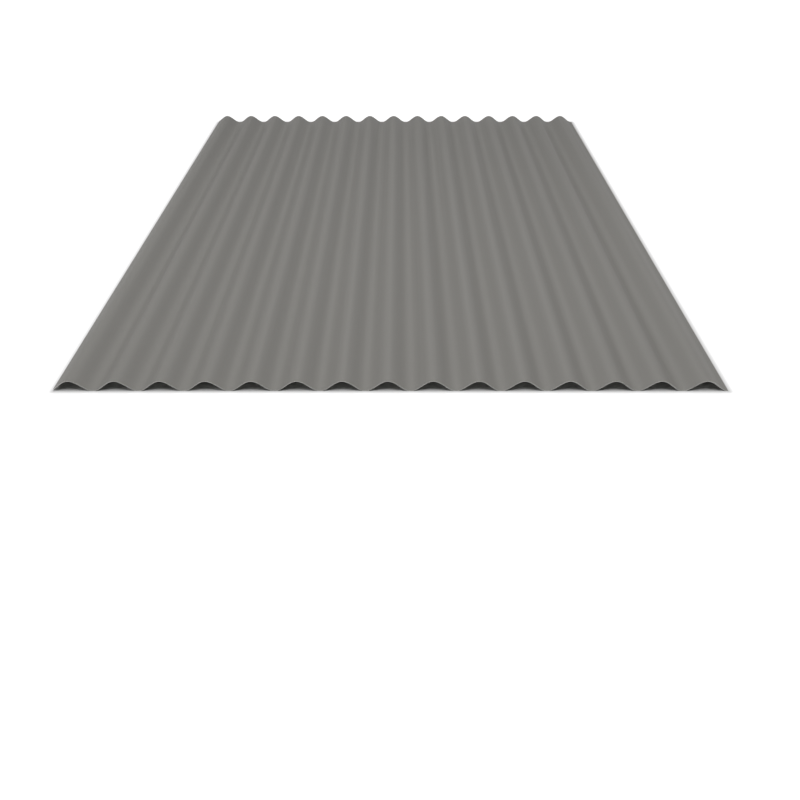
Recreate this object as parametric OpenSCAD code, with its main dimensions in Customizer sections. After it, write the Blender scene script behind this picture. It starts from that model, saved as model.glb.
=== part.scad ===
// Corrugated steel sheet for roofs and walls: a flat strip rolled into even sine waves,
// lying on its troughs with the waves running along Y.
// The origin is at the middle of the underside. All sizes are in millimetres.

/* [Waves] */
// Distance from one crest to the next
pitch = 76; // [60:0.5:100]
// Height of a crest over a trough, on the same face of the steel
depth = 19; // [12:0.5:24]
// Number of crests across the sheet
crests = 15; // [3:1:20]

/* [Sheet] */
// Length of the sheet along its waves
sheet_length = 1500; // [600:10:4000]
// Thickness of the steel with its coats, square to its surface
thickness = 0.5; // [0.4:0.05:1.2]

/* [Side edges] */
// Width from the first crest out to the left edge, the lip that covers the next sheet
left_lip = 28; // [20:0.5:38]
// Width from the last crest out to the right edge, the lip that goes under the next sheet
right_lip = 38; // [20:0.5:38]

/* [Smoothness] */
// Straight steps that make up one wave of the section
steps_per_wave = 32; // [16:4:48]

/* [Hidden] */

// The waves that show once the laps are made: first crest to last crest
cover_width = (crests - 1) * pitch;
left_edge = -(left_lip + cover_width + right_lip) / 2;
right_edge = -left_edge;
first_crest = left_edge + left_lip;

step = pitch / steps_per_wave;
// A step ends at least this far from a side edge, so no sliver of a facet is left there
shortest_step = step / 4;

coat_colour = "#807f7a";

// Angle of the wave at a place across the sheet, 0 on a crest
function phase(x) = 360 * (x - first_crest) / pitch;

// Point of the wave halfway through the steel
function middle(x) = [x, (thickness + depth + depth * cos(phase(x))) / 2];

// Direction square to the wave, upwards
function upwards(x) =
    let (slope = -PI * depth / pitch * sin(phase(x)))
    [-slope, 1] / norm([slope, 1]);

// Places across the sheet where the section has a corner: both edges, and steps counted from the first crest
function corner_places() =
    let (steps = [for (k = [-steps_per_wave : crests * steps_per_wave]) first_crest + k * step])
    let (inner = [for (x = steps) if (x > left_edge + shortest_step && x < right_edge - shortest_step) x])
    concat([left_edge], inner, [right_edge]);

// Cross section of the sheet: the upper face from left to right, then the lower face back again
module wave_section() {
    places = corner_places();
    last = len(places) - 1;
    upper = [for (x = places) middle(x) + upwards(x) * thickness / 2];
    lower = [for (k = [last : -1 : 0]) middle(places[k]) - upwards(places[k]) * thickness / 2];
    polygon(concat(upper, lower));
}

// The rolled sheet, sheared square at both ends
module corrugated_sheet() {
    color(coat_colour)
        rotate([90, 0, 0])
            linear_extrude(height = sheet_length, center = true)
                wave_section();
}

corrugated_sheet();
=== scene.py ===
# %% [markdown]
# # A corrugated steel sheet
# The real sheet is one strip of thin steel. A coating line paints it while it is flat, and rolls then press
# it into even waves. So there is one piece to make here, and nearly all of its look comes from two things:
# a clean wave, and a satin paint that shows how the light falls on that wave.
#
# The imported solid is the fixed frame. It gives the place and the size, and nothing here moves or stretches
# it.

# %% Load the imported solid
import math

import bpy
import numpy as np
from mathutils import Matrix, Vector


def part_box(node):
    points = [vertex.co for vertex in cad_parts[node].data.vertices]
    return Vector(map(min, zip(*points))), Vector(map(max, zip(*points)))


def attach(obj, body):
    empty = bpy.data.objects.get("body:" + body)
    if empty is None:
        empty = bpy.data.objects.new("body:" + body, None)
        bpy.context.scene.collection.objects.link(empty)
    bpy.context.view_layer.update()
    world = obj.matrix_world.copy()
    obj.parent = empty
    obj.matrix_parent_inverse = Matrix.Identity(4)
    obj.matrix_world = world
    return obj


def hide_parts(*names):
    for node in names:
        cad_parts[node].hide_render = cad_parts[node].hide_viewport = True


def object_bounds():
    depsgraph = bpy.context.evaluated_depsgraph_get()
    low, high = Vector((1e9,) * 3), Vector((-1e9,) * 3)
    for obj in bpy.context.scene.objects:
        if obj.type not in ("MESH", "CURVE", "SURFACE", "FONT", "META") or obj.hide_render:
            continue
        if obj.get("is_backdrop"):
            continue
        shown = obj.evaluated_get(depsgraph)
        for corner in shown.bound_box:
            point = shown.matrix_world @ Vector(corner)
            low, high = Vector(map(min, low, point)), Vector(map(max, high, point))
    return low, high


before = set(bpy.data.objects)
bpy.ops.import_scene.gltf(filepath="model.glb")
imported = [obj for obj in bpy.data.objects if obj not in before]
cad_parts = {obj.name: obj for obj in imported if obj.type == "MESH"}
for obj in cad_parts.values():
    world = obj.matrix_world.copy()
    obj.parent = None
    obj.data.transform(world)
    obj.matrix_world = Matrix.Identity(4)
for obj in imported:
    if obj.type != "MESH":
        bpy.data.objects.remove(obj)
cad_box = [list(corner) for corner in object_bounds()]

SHEET_NODE = "corrugated_sheet"
MM = 0.001
low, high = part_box(SHEET_NODE)
print("packed solid, in mm:", [round(size / MM, 2) for size in high - low])

# %% [markdown]
# ## The wave
# The solid's wave is made of straight steps, which is right for checking fits but shows as faint bands in a
# satin paint. One way out is to smooth the solid's mesh. It is cleaner to work the wave out again from its
# formula, as a function of two parameters: how far across the sheet, and how far along it. The length and
# the height come from the frame. The pitch, the lips and the thickness are the sizes that the sheet is sold
# by.

# %% The wave as a formula
PITCH = 76 * MM
CREST_COUNT = 15
LEFT_LIP = 28 * MM
RIGHT_LIP = 38 * MM
THICKNESS = 0.5 * MM

sheet_length = high.y - low.y
wave_depth = high.z - low.z - THICKNESS
half_width = (LEFT_LIP + (CREST_COUNT - 1) * PITCH + RIGHT_LIP) / 2
first_crest = LEFT_LIP - half_width


def wave(across):
    """Height and slope of the wave halfway through the steel.

    The height is half the depth times one plus the cosine of the wave's angle, over half the thickness, so
    that the underside of a trough is at zero. The slope is the derivative of the height.
    """
    angle = 2 * np.pi * (across - first_crest) / PITCH
    height = (THICKNESS + wave_depth * (1 + np.cos(angle))) / 2
    slope = -np.pi * wave_depth / PITCH * np.sin(angle)
    return height, slope


def sheet_points(across, along, level):
    """Points of the sheet: the middle wave at (across, along), moved by level along its upward normal.

    The normal is (-slope, 0, 1) divided by its own length.
    """
    height, slope = wave(across)
    steepness = np.hypot(slope, 1)
    return np.stack([across - level * slope / steepness, along, height + level / steepness], axis=-1)


print("depth of the wave, in mm:", round(wave_depth / MM, 3))

# %% [markdown]
# ## The two faces and the cut edge
# The weather face and the back face are the same grid at half the thickness up and down. Where shears have
# cut the sheet, the corners are slightly rounded: the blade draws the paint over the upper corner, and
# between the corners the steel is bare. That edge is a profile carried round the border of the grid. It is
# only half a millimetre high, but it is what catches the light along the near end of the sheet.
#
# Close to the border the grid gets one extra line. It keeps the smooth shading of the round corner from
# spreading over the first long row of faces.

# %% Lines of the grid
STEPS_PER_WAVE = 48
ROWS = 48
CORNER_RADIUS = 0.12 * MM
HOLDING_GAP = 0.4 * MM


def grid_lines(half_span, count):
    """Evenly spaced lines between the borders' corner radii, and one more line on each border."""
    border = half_span - CORNER_RADIUS
    held = border - HOLDING_GAP
    return np.concatenate([[-border], np.linspace(-held, held, count + 1), [border]])


across_lines = grid_lines(half_width, round(2 * half_width / PITCH * STEPS_PER_WAVE))
along_lines = grid_lines(sheet_length / 2, ROWS)
across, along = np.meshgrid(across_lines, along_lines, indexing="ij")
print("grid lines:", len(across_lines), "across,", len(along_lines), "along")

# %% Points of the faces and the edge
CORNER_STEPS = 4


def edge_profile():
    """Outward distance and level of the cut edge: a quarter circle at each corner, a flat between them."""
    turn = np.linspace(0, np.pi / 2, CORNER_STEPS + 1)
    outward = CORNER_RADIUS * np.sin(turn)
    level = THICKNESS / 2 - CORNER_RADIUS * (1 - np.cos(turn))
    return np.concatenate([outward, outward[::-1]]), np.concatenate([level, -level[::-1]])


def border_walk(columns, rows):
    """Grid indices of the border, counter-clockwise seen from above, from the front left corner on."""
    i = np.concatenate([np.arange(columns - 1), np.full(rows - 1, columns - 1),
                        np.arange(columns - 1, 0, -1), np.zeros(rows - 1, int)])
    j = np.concatenate([np.zeros(columns - 1, int), np.arange(rows - 1),
                        np.full(columns - 1, rows - 1), np.arange(rows - 1, 0, -1)])
    return i, j


columns, rows = across.shape
border_i, border_j = border_walk(columns, rows)
out_across = (border_i == columns - 1) * 1.0 - (border_i == 0)
out_along = (border_j == rows - 1) * 1.0 - (border_j == 0)
outward, level = edge_profile()

weather_face = sheet_points(across, along, THICKNESS / 2)
back_face = sheet_points(across, along, -THICKNESS / 2)
edge = sheet_points(
    across[border_i, border_j][:, None] + out_across[:, None] * outward[None, 1:-1],
    along[border_i, border_j][:, None] + out_along[:, None] * outward[None, 1:-1],
    np.broadcast_to(level[None, 1:-1], (len(border_i), len(level) - 2)),
)
points = np.concatenate([weather_face.reshape(-1, 3), back_face.reshape(-1, 3), edge.reshape(-1, 3)])
print("points:", len(points))

# %% Faces, all of them quads
face_numbers = np.arange(columns * rows).reshape(columns, rows)
rim_numbers = np.concatenate([
    face_numbers[border_i, border_j][:, None],
    2 * columns * rows + np.arange(edge.shape[0] * edge.shape[1]).reshape(edge.shape[:2]),
    columns * rows + face_numbers[border_i, border_j][:, None],
], axis=1)


def quads(a, b, c, d):
    """One quad for each place in four equal arrays of point numbers."""
    return np.stack([a, b, c, d], axis=-1).reshape(-1, 4)


weather_quads = quads(face_numbers[:-1, :-1], face_numbers[1:, :-1],
                      face_numbers[1:, 1:], face_numbers[:-1, 1:])
back_quads = weather_quads[:, ::-1] + columns * rows
next_rim = np.roll(rim_numbers, -1, axis=0)
rim_quads = quads(rim_numbers[:, :-1], rim_numbers[:, 1:], next_rim[:, 1:], next_rim[:, :-1])
all_quads = np.concatenate([weather_quads, back_quads, rim_quads])
print("quads:", len(all_quads), "of which on the cut edge:", len(rim_quads))

# %% Which finish each quad has
WEATHER_COAT, BACK_COAT, BARE_EDGE = 0, 1, 2
rim_strips = np.full(rim_numbers.shape[1] - 1, BARE_EDGE)
rim_strips[:CORNER_STEPS // 2] = WEATHER_COAT
rim_strips[-CORNER_STEPS // 2:] = BACK_COAT
finish_of_quad = np.concatenate([
    np.full(len(weather_quads), WEATHER_COAT),
    np.full(len(back_quads), BACK_COAT),
    np.tile(rim_strips, len(rim_numbers)),
])
print("strips of the edge, from the weather face down:", rim_strips)


# %% The mesh
def mesh_object(name, points, quads, finish):
    """A smooth-shaded mesh object at the origin, filled from whole arrays."""
    mesh = bpy.data.meshes.new(name)
    mesh.vertices.add(len(points))
    mesh.vertices.foreach_set("co", points.astype(np.float32).ravel())
    mesh.loops.add(quads.size)
    mesh.loops.foreach_set("vertex_index", quads.astype(np.int32).ravel())
    mesh.polygons.add(len(quads))
    mesh.polygons.foreach_set("loop_start", np.arange(0, quads.size, 4, dtype=np.int32))
    mesh.polygons.foreach_set("material_index", finish.astype(np.int32))
    mesh.polygons.foreach_set("use_smooth", np.ones(len(quads), bool))
    mesh.update(calc_edges=True)
    mesh.validate()
    made = bpy.data.objects.new(name, mesh)
    bpy.context.scene.collection.objects.link(made)
    return made


sheet = mesh_object("sheet", points, all_quads, finish_of_quad)
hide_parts(SHEET_NODE)
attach(sheet, "root")
print("triangles:", 2 * len(all_quads))

# %% [markdown]
# ## Helpers for the finishes
# A colour is written as the sRGB hex value that a paint card would give, and one function turns it into the
# linear light that Blender works in. A second one adds a node, sets it and joins it up. A pattern's scale
# is worked out from the size of its features in millimetres, because a noise texture of scale 1 has
# features about a metre wide.


# %% Colour, scale and node helpers
def linear(hex_colour):
    """sRGB hex to linear RGBA: a straight part near black, and a power of 2.4 above it."""
    srgb = np.array([int(hex_colour[k:k + 2], 16) for k in (1, 3, 5)]) / 255
    light = np.where(srgb <= 0.04045, srgb / 12.92, ((srgb + 0.055) / 1.055) ** 2.4)
    return (*light.tolist(), 1.0)


def per_metre(feature_mm):
    """Texture scale for features of this size: one over the size in metres."""
    return 1 / (feature_mm * MM)


def add_node(tree, kind, inputs, **settings):
    """Adds a node: settings are its properties, and an input takes a value or another node's output."""
    node = tree.nodes.new(kind)
    for name, value in settings.items():
        setattr(node, name, value)
    for name, value in inputs.items():
        if isinstance(value, bpy.types.NodeSocket):
            tree.links.new(value, node.inputs[name])
        else:
            node.inputs[name].default_value = value
    return node


def new_material(name):
    """An empty node material and its output node."""
    material = bpy.data.materials.new(name)
    material.use_nodes = True
    material.node_tree.nodes.clear()
    return material, material.node_tree.nodes.new("ShaderNodeOutputMaterial")


# %% [markdown]
# ## Satin polyester on the weather face
# The weather face is a polyester coil coat, about 25 micrometres of warm grey paint baked on the flat strip.
# It is a paint, so it isn't a metal to the shader: the colour comes from the pigment, and the shine is weak
# and blurred. The binder's index of refraction is about 1.5, but its matting grains scatter much of the
# shine, and an index of 1.3 comes closer to that. Up close it isn't quite even. The pigment gives a fine
# grain, the roller coater leaves a faint orange peel, and the forming rolls polish long streaks along the
# waves. They are all kept weak, because a new sheet looks plain.

# %% Weather coat
GRAIN_MM = 1.6  # real pigment is far finer and would only turn into noise in a picture
STREAK_WIDTH_MM, STREAK_LENGTH_MM = 5, 900
PEEL_MM = 3.5
PEEL_HEIGHT = 0.02 * MM
POLISHED, SATIN = 0.57, 0.63
PAINT_IOR = 1.3


def satin_polyester():
    """Warm grey coil coat: grain in the colour, rolled streaks in the shine, orange peel in the bump."""
    material, output = new_material("satin_polyester_coil_coat")
    tree = material.node_tree
    place = add_node(tree, "ShaderNodeTexCoord", {}).outputs["Object"]
    grain = add_node(tree, "ShaderNodeTexNoise", {
        "Vector": place, "Scale": per_metre(GRAIN_MM), "Detail": 2.0})
    colour = add_node(tree, "ShaderNodeMix", {
        "Factor": grain.outputs["Fac"], "A": linear("#7a7875"), "B": linear("#7f7e7a")}, data_type="RGBA")
    width, length = per_metre(STREAK_WIDTH_MM), per_metre(STREAK_LENGTH_MM)
    along_waves = add_node(tree, "ShaderNodeMapping", {"Vector": place, "Scale": (width, length, width)})
    streaks = add_node(tree, "ShaderNodeTexNoise", {"Vector": along_waves.outputs["Vector"], "Scale": 1.0})
    roughness = add_node(tree, "ShaderNodeMapRange", {
        "Value": streaks.outputs["Fac"], "From Min": 0.3, "From Max": 0.7,
        "To Min": POLISHED, "To Max": SATIN})
    peel = add_node(tree, "ShaderNodeTexNoise", {"Vector": place, "Scale": per_metre(PEEL_MM)})
    bump = add_node(tree, "ShaderNodeBump", {
        "Height": peel.outputs["Fac"], "Strength": 0.3, "Distance": PEEL_HEIGHT})
    paint = add_node(tree, "ShaderNodeBsdfPrincipled", {
        "Base Color": colour.outputs["Result"], "Roughness": roughness.outputs["Result"],
        "IOR": PAINT_IOR, "Normal": bump.outputs["Normal"]})
    tree.links.new(paint.outputs["BSDF"], output.inputs["Surface"])
    return material


# %% [markdown]
# ## Backing coat and bare edge
# The underside gets only a thin, cheap epoxy coat, light grey and matt. It is laid on less evenly, so its
# colour is a little cloudy. The cut edge has no paint at all: there the zinc and steel are bare, a metal with
# the short marks of the blade in its shine. It is thinner than a pixel in most views, and works as a fine
# light line.

# %% Back coat
CLOUD_MM = 35


def epoxy_back_coat():
    """Thin light grey backing coat: matt, a little cloudy where the roller laid it on unevenly."""
    material, output = new_material("epoxy_backing_coat")
    tree = material.node_tree
    place = add_node(tree, "ShaderNodeTexCoord", {}).outputs["Object"]
    cloud = add_node(tree, "ShaderNodeTexNoise", {
        "Vector": place, "Scale": per_metre(CLOUD_MM), "Detail": 4.0})
    colour = add_node(tree, "ShaderNodeMix", {
        "Factor": cloud.outputs["Fac"], "A": linear("#b3b3ae"), "B": linear("#bfbfba")}, data_type="RGBA")
    paint = add_node(tree, "ShaderNodeBsdfPrincipled", {
        "Base Color": colour.outputs["Result"], "Roughness": 0.6, "IOR": 1.5})
    tree.links.new(paint.outputs["BSDF"], output.inputs["Surface"])
    return material


# %% Bare edge
BLADE_MARK_MM = 0.8


def sheared_steel():
    """Freshly cut galvanised steel: a metal with short marks of the blade."""
    material, output = new_material("sheared_galvanised_steel")
    tree = material.node_tree
    place = add_node(tree, "ShaderNodeTexCoord", {}).outputs["Object"]
    marks = add_node(tree, "ShaderNodeTexNoise", {"Vector": place, "Scale": per_metre(BLADE_MARK_MM)})
    roughness = add_node(tree, "ShaderNodeMapRange", {
        "Value": marks.outputs["Fac"], "To Min": 0.35, "To Max": 0.6})
    steel = add_node(tree, "ShaderNodeBsdfPrincipled", {
        "Base Color": linear("#cfcfcb"), "Metallic": 1.0, "Roughness": roughness.outputs["Result"]})
    tree.links.new(steel.outputs["BSDF"], output.inputs["Surface"])
    return material


for finish in (satin_polyester(), epoxy_back_coat(), sheared_steel()):
    sheet.data.materials.append(finish)
print("finishes:", [material.name for material in sheet.data.materials])

# %% [markdown]
# ## Floor and backdrop
# The sheet lies on a plain white floor. A floor that is only lit would be grey wherever the light falls off,
# and one of bright white paint would throw so much light back that the low lips of the sheet glare. So the
# paint is light grey, and the rest of the white is light that the floor gives off, but only to rays that are
# seen: straight from the camera, in a reflection or through glass. The glow starts at nothing at the sheet's
# outline and rises within about a centimetre. Under the sheet and in the arches the floor is as dark as the
# lamps leave it. Along the edges the ramp paints a soft shade about a centimetre wide, which is wider than
# the lamps' own shadow there. Further out the glow makes up for what the lamps lose with distance.

# %% Floor
FLOOR_SIZE = 14.0
FLOOR_DROP = 0.05 * MM
# The near reach is the width of a ring of painted shade round the sheet's outline.
NEAR_GLOW, PAINTED_SHADE_REACH = 0.7, 12 * MM
FAR_GLOW, FAR_REACH = 0.4, 3.0


def seen_directly(tree):
    """A value of 1 for rays that show something to the eye (camera, glossy, transmission), 0 for others."""
    path = add_node(tree, "ShaderNodeLightPath", {})
    mirrored = add_node(tree, "ShaderNodeMath", {
        0: path.outputs["Is Camera Ray"], 1: path.outputs["Is Glossy Ray"]}, operation="MAXIMUM")
    return add_node(tree, "ShaderNodeMath", {
        0: mirrored.outputs[0], 1: path.outputs["Is Transmission Ray"]}, operation="MAXIMUM").outputs[0]


def white_floor_with_painted_shade():
    """Matt light grey paint with a glow that rises quickly, then slowly, with the distance from the sheet.

    The distance is the length of what is left of a place's coordinates, taken without their signs, after
    the sheet's half sizes are taken off and negative rests are set to zero.
    """
    material, output = new_material("white_floor_with_painted_shade_ring")
    tree = material.node_tree
    place = add_node(tree, "ShaderNodeTexCoord", {}).outputs["Object"]
    unsigned = add_node(tree, "ShaderNodeVectorMath", {0: place}, operation="ABSOLUTE")
    rest = add_node(tree, "ShaderNodeVectorMath", {
        0: unsigned.outputs[0], 1: (half_width, sheet_length / 2, 1.0)}, operation="SUBTRACT")
    outside = add_node(tree, "ShaderNodeVectorMath", {0: rest.outputs[0], 1: (0, 0, 0)}, operation="MAXIMUM")
    distance = add_node(tree, "ShaderNodeVectorMath", {0: outside.outputs[0]}, operation="LENGTH")
    # Painted shade: the glow is nothing at the outline and full a centimetre out, so the grey ring round the
    # sheet is painted, not cast by the lamps.
    near = add_node(tree, "ShaderNodeMapRange", {
        "Value": distance.outputs["Value"], "From Max": PAINTED_SHADE_REACH, "To Max": NEAR_GLOW})
    far = add_node(tree, "ShaderNodeMapRange", {
        "Value": distance.outputs["Value"], "From Max": FAR_REACH, "To Max": FAR_GLOW})
    glow = add_node(tree, "ShaderNodeMath", {
        0: near.outputs["Result"], 1: far.outputs["Result"]}, operation="ADD")
    seen_glow = add_node(tree, "ShaderNodeMath", {
        0: glow.outputs[0], 1: seen_directly(tree)}, operation="MULTIPLY")
    shine = add_node(tree, "ShaderNodeEmission", {
        "Color": linear("#ffffff"), "Strength": seen_glow.outputs[0]})
    paint = add_node(tree, "ShaderNodeBsdfDiffuse", {"Color": linear("#c8c8c8")})
    both = add_node(tree, "ShaderNodeAddShader", {0: paint.outputs["BSDF"], 1: shine.outputs["Emission"]})
    tree.links.new(both.outputs["Shader"], output.inputs["Surface"])
    return material


floor_corners = np.array([[-1, -1, 0], [1, -1, 0], [1, 1, 0], [-1, 1, 0]]) * FLOOR_SIZE / 2
floor = mesh_object("floor", floor_corners - [0, 0, FLOOR_DROP], np.array([[0, 1, 2, 3]]), np.zeros(1))
floor.data.materials.append(white_floor_with_painted_shade())
floor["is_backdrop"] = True
print("floor, in m:", FLOOR_SIZE)

# %% [markdown]
# ## Surround
# All round the floor is a white backdrop. It is white in the picture and in reflections, so the satin paint
# shows it as a thin, even veil that grows towards a grazing view, as it would in a white studio. As a lamp it
# would light the waves from every side and flatten them, so for all other rays the world is dim, and the
# lamps do the lighting.

# %% World
DIM = 0.03


def studio_surround():
    """White for rays that are seen, and dim for those that only carry light from place to place."""
    world = bpy.data.worlds.new("white_backdrop")
    world.use_nodes = True
    tree = world.node_tree
    tree.nodes.clear()
    strength = add_node(tree, "ShaderNodeMapRange", {
        "Value": seen_directly(tree), "To Min": DIM, "To Max": 1.0})
    surround = add_node(tree, "ShaderNodeBackground", {
        "Color": linear("#ffffff"), "Strength": strength.outputs["Result"]})
    add_node(tree, "ShaderNodeOutputWorld", {"Surface": surround.outputs["Background"]})
    return world


bpy.context.scene.world = studio_surround()
print("surround:", bpy.context.scene.world.name)

# %% [markdown]
# ## Light
# Three soft lamps, as a small studio would hang them. The big one hangs high, before the sheet. It lights
# crests and troughs more than the flanks, which is what makes the waves readable, and the near end more than
# the far end, which makes up for the veil of the backdrop. The one on the left makes the left flank of each
# wave a shade lighter than the right one. The narrow one behind the sheet leans its shine on the crests and
# troughs of the near end. With the veil, they light the sheet so that a paint comes out about as its colour
# is written.


# %% Lamps
def soft_lamp(name, place, target, width, length, power):
    """A rectangular area lamp at place that faces target.

    Its tilt is the angle between straight down and the way to target, and its turn is the angle of that way
    on the floor.
    """
    light = bpy.data.lights.new(name, "AREA")
    light.shape = "RECTANGLE"
    light.size = width
    light.size_y = length
    light.energy = power
    lamp = bpy.data.objects.new(name, light)
    lamp.location = place
    direction = np.array(target) - np.array(place)
    tilt = math.acos(-direction[2] / np.linalg.norm(direction))
    lamp.rotation_euler = (tilt, 0, math.atan2(direction[1], direction[0]) - math.pi / 2)
    bpy.context.scene.collection.objects.link(lamp)
    return lamp


MIDDLE = (0, 0, 0)
NEAR_END = (0, -sheet_length / 2, 0)
lamps = [
    soft_lamp("high", (0.31, -1.15, 2.62), MIDDLE, width=1.6, length=1.4, power=64.5),
    soft_lamp("left", (-2.3, -1.0, 1.55), MIDDLE, width=1.4, length=1.0, power=15.5),
    soft_lamp("back", (0, 1.48, 2.0), NEAR_END, width=0.8, length=0.2, power=8.0),
]
print("lamps:", [lamp.name for lamp in lamps])

# %% [markdown]
# ## Camera
# The camera looks straight along the waves and down at the sheet. Its distance, height, tilt and lens come
# from the perspective of the near and far ends: their crests lie at known places, one pitch apart.

# %% Camera
CAMERA_BEFORE_FRONT = 1082 * MM
CAMERA_HEIGHT = 762.3 * MM
CAMERA_ASIDE = 15.2 * MM
CAMERA_TILT_DOWN = 35.82
LENS_MM = 35.56
SENSOR_MM = 36.0

view_data = bpy.data.cameras.new("camera")
view_data.lens = LENS_MM
view_data.sensor_width = SENSOR_MM
view_data.clip_end = 100.0
camera = bpy.data.objects.new("camera", view_data)
camera.location = (CAMERA_ASIDE, -sheet_length / 2 - CAMERA_BEFORE_FRONT, CAMERA_HEIGHT)
camera.rotation_euler = (math.radians(90 - CAMERA_TILT_DOWN), 0, 0)
bpy.context.scene.collection.objects.link(camera)
bpy.context.scene.camera = camera
bpy.context.scene.view_settings.view_transform = "Standard"
print("camera at, in mm:", [round(part / MM, 1) for part in camera.location])

# %% Sizes
visual_box = [list(corner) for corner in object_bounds()]
box_gap = np.abs(np.array(cad_box) - visual_box).max()
print("boxes differ by at most, in mm:", round(float(box_gap) / MM, 3))
